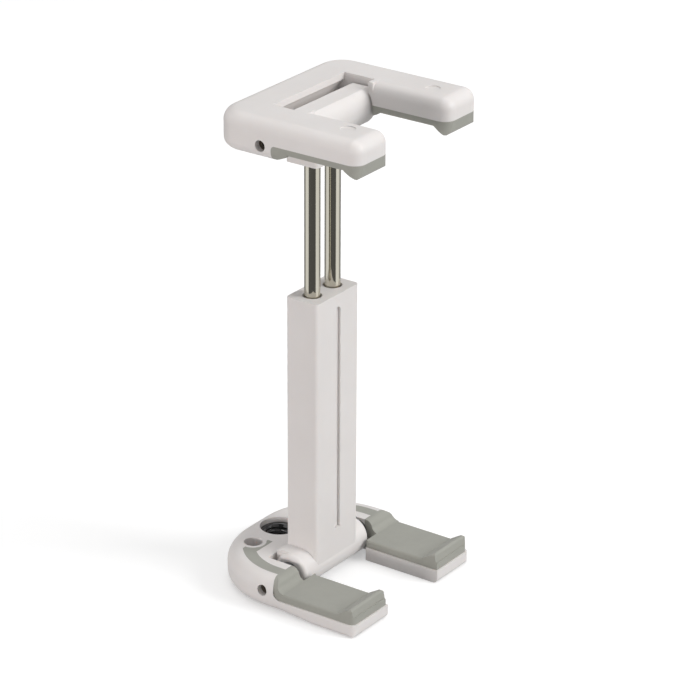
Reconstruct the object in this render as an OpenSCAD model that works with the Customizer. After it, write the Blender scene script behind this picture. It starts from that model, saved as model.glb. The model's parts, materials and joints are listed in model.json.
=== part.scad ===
// Folding phone clamp for a tripod: a lower jaw with two arms and a tripod socket, a hinged column
// with two spring-loaded steel rods in it, and an upper jaw hinged on the rods' crosshead.
// Frame: X across the jaws, -Y towards the phone, +Z up. Origin on the tripod socket's axis, at the
// underside of the lower jaw. Drawn fully extended, as it stands on a table.

/* [Lower jaw] */
// Width over the two arms
jaw_w = 43.6; // [40:0.1:50]
// Clear gap between the two arms
jaw_gap = 18.6; // [17:0.1:22]
// From the hinge axis to the arms' tips
arm_reach = 23.9; // [20:0.1:30]
// Thickness of the arms' shell, under the grips
arm_t = 3.0; // [2.6:0.1:3.8]
// Thickness of the body behind the hinge
body_t = 7.3; // [6.8:0.1:9]
// Plan radius of the body's back corners, about the hinge line
body_r = 18.4; // [16:0.1:20]
// From the hinge axis forward to the step down to the arms
step_y = 1.8; // [1:0.1:3]
// Rounding of the body's lower edge
under_r = 2.6; // [1:0.1:3]
// Rounding of the body's upper edge
brow_r = 3.0; // [1.6:0.1:3.2]
// Rounding of the arms' lower edges
arm_edge_r = 1.1; // [0.4:0.1:1.6]
// Length over which the body's lower rounding fades into the arms'
fade_run = 8; // [4:0.5:12]

/* [Tripod socket] */
// From the socket's axis to the hinge axis
socket_to_hinge = 11.5; // [11.2:0.1:12.5]
// Wall radius of the thread, 1/4 inch by 20 turns, at its minor diameter
thread_r = 2.6; // [2.5:0.05:2.7]
// Radius of the insert's barrel
insert_r = 3.75; // [3.4:0.05:4]
// Radius of the insert's head
insert_head_r = 4.25; // [4.15:0.05:4.6]
// Thickness of the insert's head
insert_head_t = 1.2; // [0.8:0.1:2]
// Depth of the insert's face below the body's top
insert_depth = 1.1; // [0.5:0.1:2]
// Radius of the two lanyard holes
lanyard_r = 2.05; // [1.5:0.05:2.2]
// From the body's side in to each lanyard hole
lanyard_side = 12.4; // [11.8:0.1:12.8]
// From the body's back forward to the lanyard holes
lanyard_back = 6.9; // [6.6:0.1:7.2]

/* [Lower grips] */
// Thickness of the soft pad on the arms
grip_t = 1.7; // [1.2:0.1:2.2]
// Height of the lip at the arms' tips, above the pad
lip_h = 1.8; // [1:0.1:3]
// Length of the lip's slope
lip_run = 3.0; // [2:0.1:4]
// Inset of the pad from the shell's edges
grip_inset = 0.35; // [0.2:0.05:0.8]
// Rounding of the pad's long edges
pad_edge_r = 0.5; // [0.2:0.05:0.8]
// How much longer than high the pad's slope up to the body is
slope_extra = 0.7; // [0.2:0.1:1.5]
// Plan radius of the pad's corner behind the slope
sweep_r = 7.3; // [6:0.1:9]
// Rounding of the pad's foot against the body
cove_r = 1.5; // [0.6:0.1:1.8]
// Width of the inlaid band beside the hinge
band_w = 2.7; // [2:0.1:3]
// From the body's outer edge in to the band
band_inset = 3.3; // [3.2:0.1:3.6]
// Depth of the band in the body
band_t = 0.9; // [0.6:0.1:1.2]
// White ring left between a lanyard hole and the band
ring_w = 0.8; // [0.5:0.05:1]
// From the body's corner centre out to where the band's tail ends, inside the band
tail_out = 9.2; // [9.1:0.1:9.6]
// Width of the band's tail
tail_w = 1.3; // [1:0.1:1.6]
// Least width that the hole's white ring leaves of the tail
tail_low = 0.5; // [0.4:0.05:0.8]
// Reach of the band's tail towards the tripod socket, from the lanyard hole's axis
tail_run = 2.5; // [1:0.1:3]

/* [Lower hinge] */
// Height of the lower hinge axis
hinge_z = 4.3; // [4.25:0.05:4.8]
// Radius of the column's hinge barrel
barrel_r = 4.15; // [4:0.05:4.2]
// Width of the column's hinge barrel
barrel_w = 23.6; // [21.5:0.1:24.5]
// Gap at each end of a hinge barrel, where a friction washer sits
washer_gap = 1.7; // [1.2:0.1:2]
// Radial clearance round a hinge barrel
swing_gap = 0.4; // [0.3:0.05:0.6]
// Diameter of the four hinge pins
pin_d = 2.4; // [2:0.1:2.8]
// Depth of the pins' ends in the jaws' sides
pin_sink = 1.4; // [0.6:0.1:2]
// From the centre plane to the pins' inner ends
pin_inner = 8.2; // [7.8:0.1:8.8]

/* [Column] */
// Width of the column
col_w = 15.1; // [14.8:0.1:16]
// Depth of the column
col_d = 8.1; // [7.9:0.1:8.4]
// Height of the column's top
col_top = 66; // [60:0.5:74]
// Rounding of the column's long edges
col_edge_r = 0.9; // [0.5:0.1:1.4]
// Width of the groove down the front
groove_w = 1.9; // [1.2:0.1:2.6]
// Depth of the groove
groove_depth = 0.6; // [0.3:0.1:1]
// From the column's top down to the groove
groove_top = 2.9; // [2:0.1:6]
// Height of the groove's lower end
groove_foot = 11.6; // [10:0.1:16]
// Thickness of the column's top wall
top_wall = 2.4; // [1.6:0.1:3]

/* [Rods and springs] */
// Diameter of the rods
rod_d = 3.4; // [3:0.1:3.6]
// Distance between the rods
rod_pitch = 7.2; // [7:0.1:7.6]
// Travel of the upper jaw, from open down to closed
travel = 30; // [24:0.5:31]
// Gap between the crosshead and the column when closed
closed_gap = 0.1; // [0.1:0.05:0.5]
// Radius of each bore in the column
bore_r = 3.2; // [3.1:0.05:3.3]
// Radius of each hole in the column's top
mouth_r = 2.1; // [1.95:0.05:2.3]
// Length of each guide bush
bush_l = 5; // [3:0.5:7]
// Length of each spring, squeezed
spring_l = 17; // [15:0.5:20]
// Diameter of the spring wire
wire_d = 0.5; // [0.4:0.05:0.6]
// Turns of each spring
spring_turns = 18; // [12:1:22]
// Mean radius of each spring
spring_r = 2.45; // [2.35:0.05:2.5]

/* [Upper jaw] */
// Width over the two upper arms
top_w = 43; // [40:0.1:50]
// Clear gap between the two upper arms
top_gap = 20.4; // [19:0.1:23]
// From the upper hinge axis to the arms' tips
top_reach = 24; // [20:0.1:30]
// From the upper hinge axis to the back edge
top_back = 12.2; // [11:0.1:14]
// Radius of the shallow dimples on the arms
dimple_r = 1.6; // [1:0.1:2]
// Depth of the dimples
dimple_t = 0.2; // [0.1:0.05:0.4]
// From an arm's side in to its dimple
dimple_in = 6.5; // [5:0.1:8]
// From an arm's tip back to its dimple
dimple_back = 7; // [5:0.1:9]
// Thickness of the upper jaw at its back
top_t = 8.2; // [7.8:0.1:9]
// Thickness of the upper arms' shell
top_arm_t = 4.9; // [4.4:0.1:5.4]
// Rounding of the upper edges
top_edge_r = 2.6; // [1.5:0.1:2.8]
// Rounding of the lower edge at the back
top_under_r = 2.0; // [1:0.1:2.4]
// Plan radius of the back corners
top_corner_r = 6.2; // [4:0.1:8]
// From the upper hinge axis to the slot's back wall, at its top
slot_back = 3.4; // [3:0.1:4]
// Thickness of the upper pads
top_grip_t = 1.2; // [0.8:0.1:1.6]
// Height of the upper lips, below the pads
top_lip_h = 1.7; // [1:0.1:2.4]
// From the upper hinge axis forward to the grips' rounded ends
top_step = 2.7; // [2.2:0.1:3.4]
// Length of the thicker root of each upper grip
root_run = 3.8; // [3:0.1:5]

/* [Crosshead] */
// Height of the upper hinge axis over the crosshead's underside
head_axis_h = 8.3; // [8:0.1:9]
// Radius of the crosshead's barrel
head_r = 4.9; // [4.7:0.05:5.2]
// Width of the crosshead's barrel
head_w = 23.8; // [22:0.1:24.4]
// Gap at each end of the crosshead, where a thin friction washer sits
head_gap = 0.6; // [0.5:0.05:1]
// Height of the crosshead's flat top above the hinge axis
head_flat = 3.8; // [3.4:0.1:4.2]
// How far the rods reach into the crosshead
rod_seat = 8.6; // [6:0.1:9]

/* [Hidden] */

$fn = 48;
eps = 0.01;
fit_gap = 0.02;
run_gap = 0.05;
LEFT = -1;
RIGHT = 1;

white = [0.89, 0.87, 0.86];
grey = [0.62, 0.62, 0.58];
steel = [0.72, 0.71, 0.69];
black = [0.05, 0.05, 0.05];
acetal = [0.13, 0.13, 0.14];

hinge_y = -socket_to_hinge;
tip_y = hinge_y - arm_reach;
step_front = hinge_y - step_y;
slot_half = barrel_w / 2 + washer_gap;
slot_r = barrel_r + swing_gap;
root_y = hinge_y - slot_r - 0.5;
corner_x = jaw_w / 2 - body_r;
lanyard_x = jaw_w / 2 - lanyard_side;
lanyard_y = hinge_y + body_r - lanyard_back;
sweep_x = jaw_w / 2 - 4;
body_end = step_front - 3;
grip_z = arm_t + grip_t;
grip_outer = jaw_w / 2 - grip_inset;
grip_inner = jaw_gap / 2 + grip_inset;
grip_front = tip_y + grip_inset;
pin_r = pin_d / 2;

head_z = col_top + travel + closed_gap;
axis_z = head_z + head_axis_h;
top_z = axis_z + 5.5;
shell_z = top_z - top_arm_t;
top_tip_y = hinge_y - top_reach;
top_back_y = hinge_y + top_back;
head_slot_half = head_w / 2 + head_gap;
head_slot_r = head_r + swing_gap;
under_z = top_z - top_t;
top_step_y = hinge_y - top_step;

bush_z = col_top - top_wall - bush_l;
seat_t = 0.8;
clip_t = 0.6;
spring_z = bush_z - spring_l;
rod_foot = spring_z - seat_t - clip_t - 1.2;
rod_top = head_z + rod_seat;

// One copy at each rod, or each side
module at_rod(side) {
    translate([side * rod_pitch / 2, hinge_y, 0]) children();
}

module on_side(side) {
    mirror([side == LEFT ? 1 : 0, 0, 0]) children();
}

// Lay a profile drawn in Y and Z out along X, between two X values
module along_x(x0, x1) {
    translate([x0, 0, 0]) rotate([90, 0, 90]) linear_extrude(x1 - x0) children();
}

// Lay a profile drawn in X and Z out along Y, between two Y values
module along_y(y0, y1) {
    translate([0, y1, 0]) rotate([90, 0, 0]) linear_extrude(y1 - y0) children();
}

// Cylinder along X, between two X values
module bar_x(x0, x1, y, z, r) {
    translate([x0, y, z]) rotate([0, 90, 0]) cylinder(h = x1 - x0, r = r);
}

// Half section of a slab from the centre line out to w, with rounded outer edges
module edge_section(w, z0, z1, r_low, r_high) {
    inner = w - max(r_low, r_high);
    translate([0, z0]) square([inner, z1 - z0]);
    translate([0, z0 + r_low]) square([w, z1 - z0 - r_low - r_high]);
    translate([0, z0]) square([w - r_low, r_low + eps]);
    translate([0, z1 - r_high - eps]) square([w - r_high, r_high + eps]);
    translate([w - r_low, z0 + r_low]) circle(r_low);
    translate([w - r_high, z1 - r_high]) circle(r_high);
}

// Rectangle with rounded corners
module round_rect(x0, y0, x1, y1, r) {
    translate([x0 + r, y0]) square([x1 - x0 - 2 * r, y1 - y0]);
    translate([x0, y0 + r]) square([x1 - x0, y1 - y0 - 2 * r]);
    for (x = [x0 + r, x1 - r], y = [y0 + r, y1 - r]) translate([x, y]) circle(r);
}

// Lower jaw

// Blank of the body: two turned corners joined by a straight back, running on past the step
module base_body() {
    intersection() {
        union() {
            for (side = [LEFT, RIGHT]) {
                translate([side * corner_x, hinge_y, 0])
                    rotate_extrude($fn = 96) edge_section(body_r, 0, body_t, under_r, brow_r);
                on_side(side) along_y(body_end - 1, hinge_y)
                    edge_section(jaw_w / 2, 0, body_t, under_r, brow_r);
            }
            along_x(-corner_x, corner_x)
                translate([hinge_y, 0]) edge_section(body_r, 0, body_t, under_r, brow_r);
        }
        translate([-jaw_w, body_end, -1]) cube([2 * jaw_w, 2 * body_r, body_t + 2]);
    }
}

// Shell of the arms; its lower rounding grows towards the body
module base_arms() {
    fade_y = body_end - fade_run;
    intersection() {
        for (side = [LEFT, RIGHT]) on_side(side) {
            along_y(tip_y, fade_y) arm_section(arm_edge_r);
            hull($fn = 32) {
                along_y(fade_y - eps, fade_y) arm_section(arm_edge_r);
                along_y(body_end, body_end + eps) arm_section(under_r);
            }
        }
        linear_extrude(arm_t)
            round_rect(-jaw_w / 2, tip_y, jaw_w / 2, step_front + 4, 1.4);
        along_x(-jaw_w / 2, jaw_w / 2)
            translate([step_front + 4, 0]) mirror([1, 0])
                edge_section(step_front + 4 - tip_y, 0, arm_t + 1, arm_edge_r, 0.4);
    }
}

module arm_section(low_r) {
    edge_section(jaw_w / 2, 0, arm_t, low_r, 0.3);
}

// Plan of the space ahead of the step that a soft pad fills, its back edge drawn in by an inset
module pad_plan(inset) {
    front = tip_y - 1;
    translate([0, front]) square([sweep_x, step_front - inset - front]);
    translate([0, front]) square([jaw_w, step_front - sweep_r - front]);
    translate([sweep_x, step_front - sweep_r]) circle(sweep_r - inset);
}

// That space, with a cove where the arm's shell meets the body
module pad_zone(side) {
    on_side(side) {
        translate([0, 0, arm_t]) linear_extrude(2 * body_t) pad_plan(cove_r);
        translate([0, 0, arm_t + cove_r]) linear_extrude(2 * body_t) pad_plan(0);
        bar_x(0, sweep_x, step_front - cove_r, arm_t + cove_r, cove_r);
        translate([sweep_x, step_front - sweep_r, arm_t + cove_r])
            rotate_extrude() translate([sweep_r - cove_r, 0]) circle(cove_r);
    }
}

// Half a stadium about the body's corner: a disc run on straight to the step
module corner_plan(r) {
    translate([corner_x, hinge_y]) circle(r);
    translate([corner_x, step_front - 1]) square([r, step_y + 1]);
}

// The band in plan: beside the hinge slot, round its back corner, with a tail past the lanyard hole
module band_plan() {
    out_r = body_r - band_inset;
    tail_y = lanyard_y - lanyard_r - ring_w - tail_low;
    tail_x = lanyard_x - tail_run;
    // the tail ends inside the band, beside the body's corner
    tail_end = corner_x + tail_out;
    difference() {
        union() {
            intersection() {
                difference() {
                    corner_plan(out_r);
                    corner_plan(out_r - band_w);
                }
                translate([corner_x, step_front]) square([jaw_w, lanyard_y - step_front]);
            }
            translate([tail_x, tail_y]) square([tail_end - tail_x, tail_w]);
        }
        translate([lanyard_x, lanyard_y]) circle(lanyard_r + ring_w);
    }
}

module band_recess(side, depth) {
    on_side(side) translate([0, 0, body_t - depth]) linear_extrude(depth) band_plan();
}

module base_jaw() {
    color(white) difference() {
        union() {
            base_body();
            base_arms();
        }
        for (side = [LEFT, RIGHT]) pad_zone(side);
        // gap between the arms, open at the front
        translate([-jaw_gap / 2, tip_y - 1, -1]) cube([jaw_gap, arm_reach + 1, body_t + 2]);
        // slot for the hinge barrel, through the body
        translate([-slot_half, root_y, -1])
            cube([2 * slot_half, hinge_y + slot_r - root_y, body_t + 2]);
        // tripod socket, stepped for the insert's head
        translate([0, 0, -1]) cylinder(h = body_t + 2, r = insert_r + fit_gap);
        translate([0, 0, body_t - insert_depth - insert_head_t])
            cylinder(h = body_t, r = insert_head_r + fit_gap);
        // lanyard holes
        for (side = [LEFT, RIGHT])
            translate([side * lanyard_x, lanyard_y, -1]) cylinder(h = body_t + 2, r = lanyard_r);
        // hinge pin holes
        bar_x(-jaw_w, jaw_w, hinge_y, hinge_z, pin_r + fit_gap);
        // seats of the soft bands
        for (side = [LEFT, RIGHT]) translate([0, 0, eps]) band_recess(side, band_t + eps);
    }
}

// Side profile of a lip at the tips: a ramp up to a rounded crest and a front that leans back
module lip_profile() {
    peak_z = grip_z + lip_h;
    foot_y = grip_front + 1.1 + lip_run;
    polygon([[grip_front, arm_t], [grip_front + 0.5, peak_z - 0.6], [grip_front + 1.1, peak_z],
        [foot_y, grip_z - eps], [foot_y, arm_t]]);
    translate([grip_front + 1.1, peak_z - 0.6]) circle(0.6);
}

// Side profile of a slope that eases out of a high level at y0 and into a low one, on two arcs
module slope_profile(y0, high, low, y_back) {
    h = high - low;
    run = h + slope_extra;
    r = (run * run + h * h) / (4 * h);
    y1 = y0 - run;
    intersection() {
        translate([y0, high - r]) circle(r);
        translate([y1 + run / 2, low - 1]) square([run / 2 + eps, h + 1]);
    }
    translate([y1 + run / 2, low - 1]) square([run / 2 + eps, 1 + h / 2]);
    difference() {
        translate([y1, low - 1]) square([run / 2 + eps, 1 + h / 2]);
        translate([y1, low + r]) circle(r);
    }
    translate([y0, low - 1]) square([y_back - y0, h + 1]);
}

module base_grip(side) {
    color(grey) union() {
        difference() {
            intersection() {
                pad_zone(side);
                on_side(side) union() {
                    along_y(grip_front, step_front)
                        round_rect(grip_inner, 0, grip_outer, grip_z, pad_edge_r);
                    intersection() {
                        along_x(grip_inner, grip_outer) lip_profile();
                        along_y(tip_y, step_front)
                            round_rect(grip_inner, 0, grip_outer, grip_z + lip_h, 0.8);
                    }
                    intersection() {
                        along_x(grip_inner, grip_outer)
                            slope_profile(step_front - 0.3, body_t, grip_z, step_front + 1);
                        along_y(root_y - 2, step_front + 1)
                            edge_section(grip_outer, 0, body_t, 0.5, brow_r - grip_inset);
                    }
                }
                linear_extrude(2 * body_t) round_rect(-grip_outer, grip_front, grip_outer, 0, 1.2);
            }
            translate([-slot_half, root_y, 0])
                cube([2 * slot_half, hinge_y + slot_r - root_y, 2 * body_t]);
        }
        band_recess(side, band_t);
    }
}

module tripod_insert() {
    top = body_t - insert_depth;
    color(black) difference() {
        union() {
            cylinder(h = top, r = insert_r);
            translate([0, 0, top - insert_head_t]) cylinder(h = insert_head_t, r = insert_head_r);
        }
        translate([0, 0, -1]) cylinder(h = body_t + 2, r = thread_r);
        translate([0, 0, top - 0.6]) cylinder(h = 0.7, r1 = thread_r, r2 = thread_r + 0.7);
    }
}

// Hinge pins and washers, shared by both hinges

module hinge_pin(side, z, outer_x) {
    color(steel) on_side(side) difference() {
        bar_x(pin_inner, outer_x - pin_sink, hinge_y, z, pin_r);
        bar_x(outer_x - pin_sink - 0.3, outer_x, hinge_y, z, pin_r * 0.35);
    }
}

module friction_washer(side, z, inner_x, gap) {
    color(acetal) on_side(side) difference() {
        bar_x(inner_x + 0.1, inner_x + gap - 0.1, hinge_y, z, pin_r + 1.3);
        bar_x(inner_x - 1, inner_x + gap + 1, hinge_y, z, pin_r + run_gap);
    }
}

// Column

module foot_section() {
    translate([hinge_y, hinge_z]) circle(barrel_r, $fn = 96);
    translate([hinge_y, hinge_z]) square([col_d / 2, barrel_r - 0.6]);
    translate([hinge_y, hinge_z]) square([col_d / 2 - 0.6, barrel_r]);
    translate([hinge_y + col_d / 2 - 0.6, hinge_z + barrel_r - 0.6]) circle(0.6);
}

module column() {
    half_w = col_w / 2;
    half_d = col_d / 2;
    color(white) difference() {
        union() {
            translate([0, 0, hinge_z]) linear_extrude(col_top - hinge_z)
                round_rect(-half_w, hinge_y - half_d, half_w, hinge_y + half_d, col_edge_r);
            // hinge barrel with rounded ends
            along_x(-barrel_w / 2 + 1, barrel_w / 2 - 1) foot_section();
            bar_x(-barrel_w / 2, barrel_w / 2, hinge_y, hinge_z, barrel_r - 1);
            for (side = [LEFT, RIGHT])
                translate([side * (barrel_w / 2 - 1), hinge_y, hinge_z]) rotate([0, 90, 0])
                    rotate_extrude() translate([barrel_r - 1, 0]) circle(1);
        }
        // rod holes in the top wall, opening into the spring bores
        for (side = [LEFT, RIGHT]) at_rod(side) {
            translate([0, 0, col_top - top_wall - 1]) cylinder(h = top_wall + 2, r = mouth_r);
            translate([0, 0, -1]) cylinder(h = col_top - top_wall + 1, r = bore_r);
        }
        // groove down the front, with a round upper end
        translate([-groove_w / 2, hinge_y - half_d - 1, groove_foot])
            cube([groove_w, 1 + groove_depth, col_top - groove_top - groove_w / 2 - groove_foot]);
        translate([0, hinge_y - half_d + groove_depth, col_top - groove_top - groove_w / 2])
            rotate([90, 0, 0]) cylinder(h = 2, r = groove_w / 2);
        // running holes for the hinge pins
        for (side = [LEFT, RIGHT])
            on_side(side) bar_x(pin_inner - 0.3, barrel_w, hinge_y, hinge_z, pin_r + run_gap);
    }
}

module guide_bush(side) {
    color(acetal) at_rod(side) translate([0, 0, bush_z]) difference() {
        cylinder(h = bush_l, r = bore_r - fit_gap);
        translate([0, 0, -1]) cylinder(h = bush_l + 2, r = rod_d / 2 + run_gap);
    }
}

// Plugs close the bores below and follow the barrel's round underside
module bore_plug(side) {
    color(white) intersection() {
        at_rod(side) cylinder(h = 2 * hinge_z, r = bore_r - fit_gap);
        bar_x(-barrel_w / 2, barrel_w / 2, hinge_y, hinge_z, barrel_r);
    }
}

// Slider

module crosshead() {
    half_w = col_w / 2;
    half_d = col_d / 2;
    color(white) difference() {
        union() {
            bar_x(-head_w / 2, head_w / 2, hinge_y, axis_z, head_r);
            translate([0, 0, head_z]) linear_extrude(axis_z - head_z)
                round_rect(-half_w, hinge_y - half_d, half_w, hinge_y + half_d, col_edge_r);
        }
        // flat top
        translate([-head_w, hinge_y - head_w, axis_z + head_flat]) cube([2 * head_w, 2 * head_w, head_r]);
        // sloped back of the top edge
        along_x(-head_w, head_w) polygon([[hinge_y + 0.9, axis_z + head_flat + 1],
            [hinge_y + 0.9, axis_z + head_flat], [hinge_y + head_r + 0.2, axis_z + 0.4],
            [hinge_y + head_r + 3, axis_z + head_flat + 1]]);
        for (side = [LEFT, RIGHT]) {
            at_rod(side) translate([0, 0, head_z - 1]) cylinder(h = rod_seat + 1, r = rod_d / 2 + fit_gap);
            on_side(side) bar_x(pin_inner - 0.3, head_w, hinge_y, axis_z, pin_r + run_gap);
        }
    }
}

module rod(side) {
    groove_z = rod_foot + 1.2;
    color(steel) at_rod(side) difference() {
        translate([0, 0, rod_foot]) cylinder(h = rod_top - rod_foot, r = rod_d / 2);
        translate([0, 0, groove_z]) difference() {
            cylinder(h = clip_t, r = rod_d);
            translate([0, 0, -1]) cylinder(h = clip_t + 2, r = rod_d / 2 - 0.4);
        }
    }
}

module spring_seat(side) {
    color(steel) at_rod(side) translate([0, 0, spring_z - seat_t]) difference() {
        cylinder(h = seat_t, r = bore_r - 0.25);
        translate([0, 0, -1]) cylinder(h = seat_t + 2, r = rod_d / 2 + run_gap);
    }
}

// Open retaining ring in the groove at the rod's foot
module rod_clip(side) {
    color(steel) at_rod(side) translate([0, 0, rod_foot + 1.2]) difference() {
        cylinder(h = clip_t, r = rod_d / 2 + 0.9);
        translate([0, 0, -1]) cylinder(h = clip_t + 2, r = rod_d / 2 - 0.4 + fit_gap);
        translate([-0.9, 0, -1]) cube([1.8, rod_d, clip_t + 2]);
    }
}

// Compression spring: a round wire swept along a helix, with closed ends
function spring_point(t) = let (a = 360 * spring_turns * t)
    [spring_r * cos(a), spring_r * sin(a), wire_d / 2 + (spring_l - wire_d) * t];

module spring(side) {
    steps = spring_turns * 12;
    sides = 6;
    pts = [for (i = [0:steps]) let (c = spring_point(i / steps), a = 360 * spring_turns * i / steps)
        for (j = [0:sides - 1]) let (b = 360 * j / sides)
            c + wire_d / 2 * [cos(b) * cos(a), cos(b) * sin(a), sin(b)]];
    walls = [for (i = [0:steps - 1], j = [0:sides - 1])
        let (p = i * sides + j, q = i * sides + (j + 1) % sides)
            [p, p + sides, q + sides, q]];
    ends = [[for (j = [0:sides - 1]) j], [for (j = [sides - 1:-1:0]) steps * sides + j]];
    color(steel) at_rod(side) translate([0, 0, spring_z])
        polyhedron(points = pts, faces = concat(walls, ends), convexity = 10);
}

// Upper jaw

module top_outline(z0, z1, r_low, r_high) {
    half = top_w / 2;
    cx = half - top_corner_r;
    cy = top_back_y - top_corner_r;
    front = hinge_y - head_slot_r - 1;
    for (side = [LEFT, RIGHT]) {
        translate([side * cx, cy, 0])
            rotate_extrude() edge_section(top_corner_r, z0, z1, r_low, r_high);
        on_side(side) along_y(front, cy) edge_section(half, z0, z1, r_low, r_high);
    }
    along_x(-cx, cx) translate([front, 0]) edge_section(top_back_y - front, z0, z1, r_low, r_high);
}

// One arm's shell: rounded along both upper edges and at its tip
module top_arm(side) {
    inner = top_gap / 2;
    outer = top_w / 2;
    r = top_edge_r;
    on_side(side) union() {
        along_y(top_tip_y + r, hinge_y) {
            translate([inner, shell_z]) square([outer - inner, top_arm_t - r]);
            translate([inner + r, shell_z]) square([outer - inner - 2 * r, top_arm_t]);
            for (x = [inner + r, outer - r]) translate([x, top_z - r]) circle(r);
        }
        along_x(inner + r, outer - r) {
            translate([top_tip_y, shell_z]) square([2 * r, top_arm_t - r]);
            translate([top_tip_y + r, top_z - r]) circle(r);
        }
        for (x = [inner + r, outer - r]) translate([x, top_tip_y + r, 0]) {
            translate([0, 0, top_z - r]) sphere(r);
            translate([0, 0, shell_z]) cylinder(h = top_arm_t - r, r = r);
        }
    }
}

// Space under the arms' shell that a grip fills, with a rounded upper corner at its back
module top_grip_zone() {
    r = 0.9;
    front = top_tip_y - 1;
    along_x(-top_w, top_w) {
        translate([front, under_z - 1]) square([top_step_y - front, shell_z - r - under_z + 1]);
        translate([front, under_z - 1]) square([top_step_y - r - front, shell_z - under_z + 1]);
        translate([top_step_y - r, shell_z - r]) circle(r);
    }
}

// Slot for the crosshead: turned for its barrel, open below, with a sloping back wall
module head_slot() {
    bar_x(-head_slot_half, head_slot_half, hinge_y, axis_z, head_slot_r);
    translate([-head_slot_half, hinge_y - head_slot_r + 1.1, axis_z])
        cube([2 * head_slot_half, head_slot_r + slot_back - 1.1, top_t]);
    translate([-head_slot_half, hinge_y - head_slot_r, axis_z - top_t])
        cube([2 * head_slot_half, 2 * head_slot_r, top_t]);
    along_x(-head_slot_half, head_slot_half)
        polygon([[hinge_y, axis_z], [hinge_y + head_slot_r, axis_z],
            [hinge_y + slot_back, axis_z + 4], [hinge_y + slot_back, top_z + 1], [hinge_y, top_z + 1]]);
}

module top_jaw() {
    color(white) difference() {
        union() {
            difference() {
                top_outline(under_z, top_z, top_under_r, top_edge_r);
                // keep only the back body here: the arms are drawn below
                translate([-top_w, top_tip_y - 1, under_z - 1])
                    cube([2 * top_w, hinge_y - head_slot_r - top_tip_y + 1, top_t + 2]);
            }
            for (side = [LEFT, RIGHT]) top_arm(side);
        }
        top_grip_zone();
        // gap between the arms
        translate([-top_gap / 2, top_tip_y - 1, under_z - 1])
            cube([top_gap, top_reach + 1, top_t + 2]);
        head_slot();
        // hinge pin holes
        bar_x(-top_w, top_w, hinge_y, axis_z, pin_r + fit_gap);
        // shallow dimples on the arms
        for (side = [LEFT, RIGHT])
            translate([side * (top_w / 2 - dimple_in), top_tip_y + dimple_back, top_z - dimple_t])
                cylinder(h = 1, r = dimple_r);
    }
}

// Side profile of an upper grip: thick root under the hinge, pad, and a lip that points down
module top_grip_profile() {
    front = top_tip_y;
    pad_z = shell_z - top_grip_t;
    low = pad_z - top_lip_h;
    root_end = top_step_y - root_run;
    polygon([[front, shell_z], [front + 0.3, low + 0.5], [front + 0.8, low], [front + 1.3, low],
        [front + 3.6, pad_z], [root_end - 0.3, pad_z], [root_end, pad_z - 0.5],
        [top_step_y - 0.3, under_z], [top_step_y, under_z], [top_step_y, shell_z]]);
}

module top_grip(side) {
    inner = top_gap / 2;
    outer = top_w / 2;
    color(grey) difference() {
        intersection() {
            on_side(side) along_x(inner, outer) top_grip_profile();
            top_grip_zone();
            translate([0, 0, under_z - 1]) linear_extrude(top_t)
                on_side(side) round_rect(inner, top_tip_y, outer, hinge_y + top_edge_r, top_edge_r);
            on_side(side) along_y(top_tip_y, hinge_y)
                edge_section(outer, under_z, top_z, top_under_r, top_edge_r);
        }
        head_slot();
    }
}

base_jaw();
base_grip(LEFT);  // base_grip_left
base_grip(RIGHT);  // base_grip_right
tripod_insert();
hinge_pin(LEFT, hinge_z, jaw_w / 2);  // base_pin_left
hinge_pin(RIGHT, hinge_z, jaw_w / 2);  // base_pin_right
friction_washer(LEFT, hinge_z, barrel_w / 2, washer_gap);  // base_washer_left
friction_washer(RIGHT, hinge_z, barrel_w / 2, washer_gap);  // base_washer_right
column();
guide_bush(LEFT);  // guide_bush_left
guide_bush(RIGHT);  // guide_bush_right
bore_plug(LEFT);  // bore_plug_left
bore_plug(RIGHT);  // bore_plug_right
spring(LEFT);  // spring_left
spring(RIGHT);  // spring_right
crosshead();
rod(LEFT);  // rod_left
rod(RIGHT);  // rod_right
spring_seat(LEFT);  // spring_seat_left
spring_seat(RIGHT);  // spring_seat_right
rod_clip(LEFT);  // rod_clip_left
rod_clip(RIGHT);  // rod_clip_right
top_jaw();
top_grip(LEFT);  // top_grip_left
top_grip(RIGHT);  // top_grip_right
hinge_pin(LEFT, axis_z, top_w / 2);  // top_pin_left
hinge_pin(RIGHT, axis_z, top_w / 2);  // top_pin_right
friction_washer(LEFT, axis_z, head_w / 2, head_gap);  // top_washer_left
friction_washer(RIGHT, axis_z, head_w / 2, head_gap);  // top_washer_right
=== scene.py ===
"""Studio scene for the folding phone clamp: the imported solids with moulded-plastic, soft-grip and
steel materials, the threaded insert that the solids leave plain, a white backdrop and the
photograph's camera. Everything is in metres, in the solids' own frame."""

import json
import math

import bmesh
import bpy
from mathutils import Matrix, Vector


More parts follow.
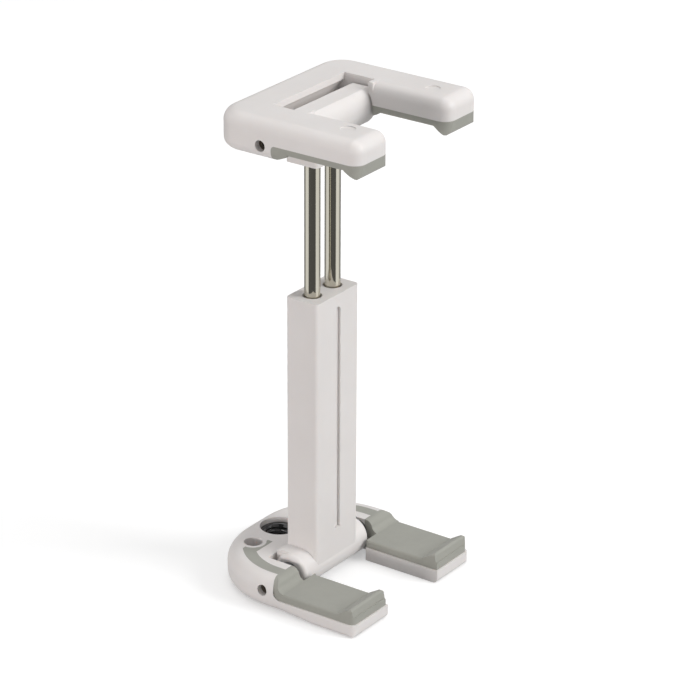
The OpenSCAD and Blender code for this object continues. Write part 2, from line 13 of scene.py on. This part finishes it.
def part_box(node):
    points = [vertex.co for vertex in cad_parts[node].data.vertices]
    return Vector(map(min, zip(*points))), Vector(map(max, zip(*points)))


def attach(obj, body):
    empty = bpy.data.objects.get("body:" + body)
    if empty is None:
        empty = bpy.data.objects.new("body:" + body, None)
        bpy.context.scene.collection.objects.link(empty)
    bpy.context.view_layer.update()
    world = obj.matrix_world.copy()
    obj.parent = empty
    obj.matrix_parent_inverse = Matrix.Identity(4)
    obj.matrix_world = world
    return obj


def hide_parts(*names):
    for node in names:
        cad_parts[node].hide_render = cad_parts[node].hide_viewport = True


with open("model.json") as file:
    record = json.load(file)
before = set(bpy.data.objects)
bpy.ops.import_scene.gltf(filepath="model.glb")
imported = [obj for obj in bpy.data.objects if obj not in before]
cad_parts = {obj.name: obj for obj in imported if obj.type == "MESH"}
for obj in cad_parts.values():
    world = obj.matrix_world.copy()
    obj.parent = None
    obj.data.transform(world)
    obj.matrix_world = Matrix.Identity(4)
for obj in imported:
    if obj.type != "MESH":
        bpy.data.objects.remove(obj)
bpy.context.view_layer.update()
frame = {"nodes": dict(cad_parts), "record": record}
scene = bpy.context.scene
scene.view_settings.view_transform = "Standard"

# Camera, fitted to the photograph
CAM_AZIMUTH = math.radians(-54.738)
CAM_ELEVATION = math.radians(23.826)
CAM_ROLL = math.radians(0.312)
CAM_DISTANCE = 0.6879
CAM_TARGET = Vector((-0.00381, -0.02135, 0.05613))
CAM_LENS = 170.02
SENSOR = 36.0
CLIP = (0.01, 20)


def make_camera():
    back = Vector((
        math.sin(CAM_AZIMUTH) * math.cos(CAM_ELEVATION),
        -math.cos(CAM_AZIMUTH) * math.cos(CAM_ELEVATION),
        math.sin(CAM_ELEVATION),
    ))
    right = Vector((0, 0, 1)).cross(back).normalized()
    up = back.cross(right)
    rolled_right = right * math.cos(CAM_ROLL) + up * math.sin(CAM_ROLL)
    rolled_up = up * math.cos(CAM_ROLL) - right * math.sin(CAM_ROLL)
    data = bpy.data.cameras.new("camera")
    data.lens = CAM_LENS
    data.sensor_width = SENSOR
    data.clip_start, data.clip_end = CLIP
    camera = bpy.data.objects.new("camera", data)
    scene.collection.objects.link(camera)
    turn = Matrix((rolled_right, rolled_up, back)).transposed().to_4x4()
    camera.matrix_world = Matrix.Translation(CAM_TARGET + back * CAM_DISTANCE) @ turn
    scene.camera = camera


make_camera()

# Materials


class Nodes:
    """A new material's node tree, with its usual nodes written as calls."""

    def __init__(self, name):
        self.material = bpy.data.materials.new(name)
        self.material.use_nodes = True
        self.tree = self.material.node_tree
        self.shader = self.tree.nodes["Principled BSDF"]
        self.coords = self.add("ShaderNodeTexCoord").outputs["Object"]

    def add(self, kind, **props):
        node = self.tree.nodes.new(kind)
        for key, value in props.items():
            setattr(node, key, value)
        return node

    def link(self, source, target):
        self.tree.links.new(source, target)

    def feed(self, **sources):
        """Links into the shader's inputs, named with _ for a space."""
        for name, source in sources.items():
            self.link(source, self.shader.inputs[name.replace("_", " ")])

    def set(self, **values):
        """Plain values of the shader's inputs, named with _ for a space."""
        for name, value in values.items():
            self.shader.inputs[name.replace("_", " ")].default_value = value

    def noise(self, scale, detail, stretch=None):
        node = self.add("ShaderNodeTexNoise")
        node.inputs["Scale"].default_value = scale
        node.inputs["Detail"].default_value = detail
        vector = self.coords
        if stretch:
            mapping = self.add("ShaderNodeMapping")
            mapping.inputs["Scale"].default_value = stretch
            self.link(vector, mapping.inputs["Vector"])
            vector = mapping.outputs["Vector"]
        self.link(vector, node.inputs["Vector"])
        return node.outputs["Fac"]

    def ramp(self, value, low, high, out_low=0.0, out_high=1.0):
        node = self.add("ShaderNodeMapRange")
        node.inputs["From Min"].default_value = low
        node.inputs["From Max"].default_value = high
        node.inputs["To Min"].default_value = out_low
        node.inputs["To Max"].default_value = out_high
        self.link(value, node.inputs["Value"])
        return node.outputs["Result"]

    def mix_color(self, factor, first, second):
        node = self.add("ShaderNodeMix", data_type="RGBA")
        node.inputs["A"].default_value = (*first, 1)
        node.inputs["B"].default_value = (*second, 1)
        self.link(factor, node.inputs["Factor"])
        return node.outputs["Result"]

    def bump(self, height, strength, distance):
        node = self.add("ShaderNodeBump")
        node.inputs["Strength"].default_value = strength
        node.inputs["Distance"].default_value = distance
        self.link(height, node.inputs["Height"])
        return node.outputs["Normal"]


def white_plastic():
    """Warm off-white moulded plastic with a very fine spark-eroded grain."""
    n = Nodes("white_shell")
    tone = n.ramp(n.noise(90, 3), 0.35, 0.65)
    n.feed(
        Base_Color=n.mix_color(tone, (0.745, 0.715, 0.700), (0.765, 0.737, 0.722)),
        Roughness=n.ramp(n.noise(420, 2), 0.3, 0.7, 0.40, 0.50),
        Normal=n.bump(n.noise(5200, 2), 0.10, 0.00004),
    )
    n.set(Specular_IOR_Level=0.42, Subsurface_Weight=0.12, Subsurface_Scale=0.0012,
          Subsurface_Radius=(1.0, 0.8, 0.65))
    return n.material


def grey_grip():
    """Matte thermoplastic rubber: fine grain, slightly mottled, soft sheen."""
    n = Nodes("grey_grip")
    tone = n.ramp(n.noise(150, 4), 0.3, 0.7)
    n.feed(
        Base_Color=n.mix_color(tone, (0.327, 0.328, 0.293), (0.349, 0.349, 0.312)),
        Roughness=n.ramp(n.noise(700, 2), 0.3, 0.7, 0.58, 0.72),
        Normal=n.bump(n.noise(3800, 3), 0.18, 0.00005),
    )
    n.set(Specular_IOR_Level=0.35, Sheen_Weight=0.15, Sheen_Roughness=0.5)
    return n.material


def polished_rod():
    """Ground and polished steel with faint lengthwise drawing marks."""
    n = Nodes("polished_steel")
    streak = n.noise(600, 3, stretch=(1, 1, 0.02))
    n.feed(
        Base_Color=n.mix_color(n.ramp(streak, 0.3, 0.7), (0.58, 0.555, 0.47), (0.70, 0.67, 0.58)),
        Roughness=n.ramp(streak, 0.3, 0.7, 0.07, 0.15),
        Normal=n.bump(streak, 0.04, 0.00003),
    )
    n.set(Metallic=1.0)
    return n.material


def plain_steel():
    """Turned clips, seats and spring wire."""
    n = Nodes("steel")
    spots = n.noise(900, 3)
    n.feed(
        Base_Color=n.mix_color(n.ramp(spots, 0.3, 0.7), (0.42, 0.41, 0.39), (0.52, 0.51, 0.49)),
        Roughness=n.ramp(spots, 0.3, 0.7, 0.28, 0.42),
        Normal=n.bump(n.noise(2600, 2), 0.12, 0.00003),
    )
    n.set(Metallic=1.0)
    return n.material


def black_metal():
    """Black-plated insert, glossy with small scuffs."""
    n = Nodes("black_insert")
    scuff = n.noise(700, 4)
    n.feed(
        Base_Color=n.mix_color(n.ramp(scuff, 0.55, 0.75), (0.010, 0.010, 0.011),
                               (0.035, 0.033, 0.032)),
        Roughness=n.ramp(scuff, 0.4, 0.7, 0.07, 0.17),
        Normal=n.bump(scuff, 0.10, 0.00003),
    )
    n.set(Metallic=0.3, Specular_IOR_Level=0.9, Coat_Weight=0.6, Coat_Roughness=0.05)
    return n.material


def pin_steel_painted_shade():
    """Steel of the hinge pins, painted dark to stand in for the shade inside the pin holes."""
    n = Nodes("pin_steel_painted_shade")
    spots = n.noise(1400, 3)
    n.feed(
        # dark tones: painted shade of the pin holes laid over the pins' own steel colour
        Base_Color=n.mix_color(n.ramp(spots, 0.3, 0.7), (0.085, 0.072, 0.058), (0.16, 0.14, 0.115)),
        Roughness=n.ramp(spots, 0.3, 0.7, 0.20, 0.34),
        Normal=n.bump(n.noise(3000, 2), 0.15, 0.00003),
    )
    n.set(Metallic=1.0)
    return n.material


def dark_acetal():
    """Dark bearing plastic of the bushes and washers."""
    n = Nodes("inner_plastic")
    tone = n.noise(500, 3)
    n.feed(
        Base_Color=n.mix_color(n.ramp(tone, 0.3, 0.7), (0.045, 0.045, 0.050),
                               (0.070, 0.070, 0.076)),
        Roughness=n.ramp(tone, 0.3, 0.7, 0.40, 0.55),
        Normal=n.bump(n.noise(3000, 2), 0.12, 0.00004),
    )
    return n.material


SLOT_MATERIALS = {
    "white_shell": white_plastic(),
    "grey_grip": grey_grip(),
    "polished_steel": polished_rod(),
    "steel": plain_steel(),
    "black_insert": black_metal(),
    "inner_plastic": dark_acetal(),
}
# The pins' steel is painted dark to stand in for the shade inside their holes
PIN_STEEL_PAINTED_SHADE = pin_steel_painted_shade()
PINS = ("base_pin_left", "base_pin_right", "top_pin_left", "top_pin_right")


def dress(obj, material):
    obj.data.materials.clear()
    obj.data.materials.append(material)


for row in frame["record"]["subparts"]:
    material = PIN_STEEL_PAINTED_SHADE if row["node"] in PINS else SLOT_MATERIALS[row["material_slot"]]
    dress(frame["nodes"][row["node"]], material)

# Insert with its thread

MM = 0.001
# Quarter inch, 20 turns to the inch: radius at the crests, pitch and depth
THREAD_R = 2.6
THREAD_PITCH = 1.27
THREAD_DEPTH = 0.5
# Share of the pitch that is flat crest, and that the two flanks take
THREAD_CREST = 0.20
THREAD_FLANKS = 0.62
# Depth of the countersink at either mouth
MOUTH = 0.62
# Height of the insert's head, and how far it stands out from the barrel
HEAD_H = 1.2
HEAD_OUT = 0.5
AROUND = 120
THREAD_ROWS = 92


def ring_of(r_at, z):
    """One ring of points at a height in mm; r_at gives the radius for a share of the turn."""
    points = []
    for k in range(AROUND):
        share = k / AROUND
        angle = 2 * math.pi * share
        r = r_at(share)
        points.append((r * MM * math.cos(angle), r * MM * math.sin(angle), z * MM))
    return points


def ring_mesh(name, rings):
    """Mesh from rings of points, each joined to the next one, and the last to the first."""
    mesh = bmesh.new()
    rows = [[mesh.verts.new(point) for point in ring] for ring in rings]
    rows.append(rows[0])
    for low, high in zip(rows, rows[1:]):
        count = len(low)
        for k in range(count):
            mesh.faces.new((low[k], low[(k + 1) % count], high[(k + 1) % count], high[k]))
    bmesh.ops.recalc_face_normals(mesh, faces=mesh.faces)
    data = bpy.data.meshes.new(name)
    mesh.to_mesh(data)
    mesh.free()
    for face in data.polygons:
        face.use_smooth = True
    obj = bpy.data.objects.new(name, data)
    scene.collection.objects.link(obj)
    return obj


def threaded_insert():
    """Quarter-inch insert, turned outside and cut with its thread inside."""
    low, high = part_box("tripod_insert")
    base, top = low[2] / MM, high[2] / MM
    head_r = (high[0] - low[0]) / 2 / MM
    barrel_r = head_r - HEAD_OUT
    neck_z = top - HEAD_H
    outline = [
        (THREAD_R + 0.75, base), (barrel_r - 0.12, base), (barrel_r, base + 0.12),
        (barrel_r, neck_z - 0.01), (barrel_r, neck_z),
        (head_r - 0.08, neck_z), (head_r, neck_z + 0.08),
        (head_r, top - 0.14), (head_r - 0.04, top - 0.05), (head_r - 0.14, top),
        (head_r - 0.16, top), (THREAD_R + 0.78, top), (THREAD_R + 0.70, top - 0.03),
    ]
    rings = [ring_of(lambda share, r=r: r, z) for r, z in outline]
    # the bore's wall runs from just under the top face to just over the base
    wall_top, wall_base = top - 0.08, base + 0.04
    for i in range(THREAD_ROWS + 1):
        z = wall_top - (wall_top - wall_base) * i / THREAD_ROWS
        mouth_r = THREAD_R + max(0.0, MOUTH - (wall_top - z), MOUTH - (z - wall_base))

        def wall_r(share, z=z, mouth_r=mouth_r):
            turn = (z / THREAD_PITCH - share) % 1.0
            flank = min(1.0, max(0.0, (abs(turn - 0.5) * 2 - THREAD_CREST) / THREAD_FLANKS))
            return max(mouth_r, THREAD_R + THREAD_DEPTH * flank)

        rings.append(ring_of(wall_r, z))
    obj = ring_mesh("threaded_insert", rings)
    dress(obj, SLOT_MATERIALS["black_insert"])
    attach(obj, "base")
    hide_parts("tripod_insert")


threaded_insert()

# Small softened edges on the moulded pieces: the width of the bevel on each
SOFT_EDGES = {
    "base_jaw": 0.00025,
    "base_grip_left": 0.0003,
    "base_grip_right": 0.0003,
    "column": 0.00025,
    "crosshead": 0.0003,
    "top_jaw": 0.0003,
    "top_grip_left": 0.0003,
    "top_grip_right": 0.0003,
}
# An edge is softened where it turns by more than this
SOFT_ANGLE = math.radians(35)

for node_name, width in SOFT_EDGES.items():
    bevel = frame["nodes"][node_name].modifiers.new("soft_edges", "BEVEL")
    bevel.width = width
    bevel.segments = 2
    bevel.limit_method = "ANGLE"
    bevel.angle_limit = SOFT_ANGLE
    bevel.harden_normals = False

# Stage

# What polished metal mirrors: the studio's unlit side, its lit sides and its back wall
UNLIT_TONE = 0.10
LIT_TONE = 0.92
BACK_TONE = 0.28
# Angles from the unlit side's middle at which one tone fades into the next, in degrees
UNLIT_FADE = (45, 54)
BACK_FADE = (92, 120)
# Light of the sky on the object
SKY_LEVEL = 0.46
# Floor: half its side, its colour to the camera and to the light that it bounces, and the
# glow that brings it to white for the camera
FLOOR_HALF = 3.0
FLOOR_SEEN = 0.75
FLOOR_BOUNCE = 0.42
FLOOR_GLOW = 0.36
# Mirrored in metal, the floor is pale up to this far from the origin, and beyond it has the
# studio's tones
FLOOR_NEAR = 0.11
FLOOR_NEAR_TONE = 0.85
# Shares of a mirrored tone that the floor's colour and its glow give
MIRROR_COLOR = 0.4
MIRROR_GLOW = 0.6


class Values:
    """Number nodes on a shader tree, written as calls; seen is 1 for what the camera sees."""

    def __init__(self, tree):
        self.tree = tree
        self.path = tree.nodes.new("ShaderNodeLightPath").outputs
        self.seen = self.math("MAXIMUM", self.path["Is Camera Ray"],
                              self.path["Is Transmission Ray"])

    def plug(self, source, target):
        if isinstance(source, (int, float)):
            target.default_value = source
        else:
            self.tree.links.new(source, target)

    def math(self, operation, *sources):
        node = self.tree.nodes.new("ShaderNodeMath")
        node.operation = operation
        for source, target in zip(sources, node.inputs):
            self.plug(source, target)
        return node.outputs[0]

    def mix(self, factor, off, on):
        node = self.tree.nodes.new("ShaderNodeMix")
        for source, name in ((factor, "Factor"), (off, "A"), (on, "B")):
            self.plug(source, node.inputs[name])
        return node.outputs["Result"]

    def fade(self, angle, span, before, after):
        """One tone up to the first angle of the span, another from its second."""
        ramp = self.tree.nodes.new("ShaderNodeMapRange")
        ramp.interpolation_type = "SMOOTHSTEP"
        start, end = span
        for source, name in ((angle, "Value"), (math.radians(start), "From Min"),
                             (math.radians(end), "From Max"), (before, "To Min"),
                             (after, "To Max")):
            self.plug(source, ramp.inputs[name])
        return ramp.outputs["Result"]

    def studio_tone(self, vector):
        """The studio's tone in a direction: unlit towards the camera, bright sides, dim back."""
        split = self.tree.nodes.new("ShaderNodeSeparateXYZ")
        self.tree.links.new(vector, split.inputs[0])
        x, y = split.outputs["X"], split.outputs["Y"]
        ahead = self.math("ADD", self.math("MULTIPLY", x, math.sin(CAM_AZIMUTH)),
                          self.math("MULTIPLY", y, -math.cos(CAM_AZIMUTH)))
        aside = self.math("ADD", self.math("MULTIPLY", x, math.cos(CAM_AZIMUTH)),
                          self.math("MULTIPLY", y, math.sin(CAM_AZIMUTH)))
        angle = self.math("ABSOLUTE", self.math("ARCTAN2", aside, ahead))
        return self.math("MINIMUM", self.fade(angle, UNLIT_FADE, UNLIT_TONE, LIT_TONE),
                         self.fade(angle, BACK_FADE, LIT_TONE, BACK_TONE))


def make_floor():
    """White to the camera, the studio's tones in metal, and plain grey to the light."""
    mesh = bpy.data.meshes.new("floor")
    corners = [(-1, -1), (1, -1), (1, 1), (-1, 1)]
    mesh.from_pydata([(x * FLOOR_HALF, y * FLOOR_HALF, 0) for x, y in corners], [], [(0, 1, 2, 3)])
    floor = bpy.data.objects.new("floor", mesh)
    scene.collection.objects.link(floor)
    material = bpy.data.materials.new("floor")
    material.use_nodes = True
    tree = material.node_tree
    shader = tree.nodes["Principled BSDF"]
    v = Values(tree)
    place = tree.nodes.new("ShaderNodeNewGeometry").outputs["Position"]
    length = tree.nodes.new("ShaderNodeVectorMath")
    length.operation = "LENGTH"
    tree.links.new(place, length.inputs[0])
    far = v.math("GREATER_THAN", length.outputs["Value"], FLOOR_NEAR)
    mirrored = v.mix(far, FLOOR_NEAR_TONE, v.studio_tone(place))
    glossy = v.path["Is Glossy Ray"]
    tone = v.mix(glossy, v.mix(v.seen, FLOOR_BOUNCE, FLOOR_SEEN),
                 v.math("MULTIPLY", mirrored, MIRROR_COLOR))
    color = tree.nodes.new("ShaderNodeCombineColor")
    for name in ("Red", "Green", "Blue"):
        v.plug(tone, color.inputs[name])
    tree.links.new(color.outputs[0], shader.inputs["Base Color"])
    shader.inputs["Roughness"].default_value = 0.9
    shader.inputs["Specular IOR Level"].default_value = 0.0
    shader.inputs["Emission Color"].default_value = (1, 1, 1, 1)
    glow = v.mix(glossy, v.math("MULTIPLY", v.seen, FLOOR_GLOW),
                 v.math("MULTIPLY", mirrored, MIRROR_GLOW))
    v.plug(glow, shader.inputs["Emission Strength"])
    mesh.materials.append(material)


def make_world():
    """White to the camera, the studio's tones in metal, and an even sky for the light."""
    world = bpy.data.worlds.new("studio")
    scene.world = world
    world.use_nodes = True
    tree = world.node_tree
    v = Values(tree)
    direction = tree.nodes.new("ShaderNodeTexCoord").outputs["Generated"]
    lit = v.mix(v.path["Is Glossy Ray"], SKY_LEVEL, v.studio_tone(direction))
    background = tree.nodes["Background"]
    background.inputs["Color"].default_value = (1, 1, 1, 1)
    v.plug(v.mix(v.seen, lit, 1.0), background.inputs["Strength"])


make_floor()
make_world()

# Area lamps: place, point aimed at, width and height, watts, colour
LAMPS = {
    "key": ((0.35, -1.00, 0.60), (0, -0.02, 0.05), (0.5, 0.5), 8.4, (1, 1, 1)),
    "fill": ((-1.0, 0.0, 0.10), (0, -0.02, 0.05), (0.5, 0.12), 3.5, (1.0, 0.94, 0.925)),
    "top": ((0.1, 0.1, 1.1), (0, -0.01, 0.05), (0.8, 0.8), 3.6, (1, 1, 1)),
}

for name, (place, target, size, watts, color) in LAMPS.items():
    data = bpy.data.lights.new(name, "AREA")
    data.shape = "RECTANGLE"
    data.size, data.size_y = size
    data.energy = watts
    data.color = color
    lamp = bpy.data.objects.new(name, data)
    scene.collection.objects.link(lamp)
    lamp.location = place
    lamp.rotation_euler = (Vector(target) - Vector(place)).to_track_quat("-Z", "Y").to_euler()
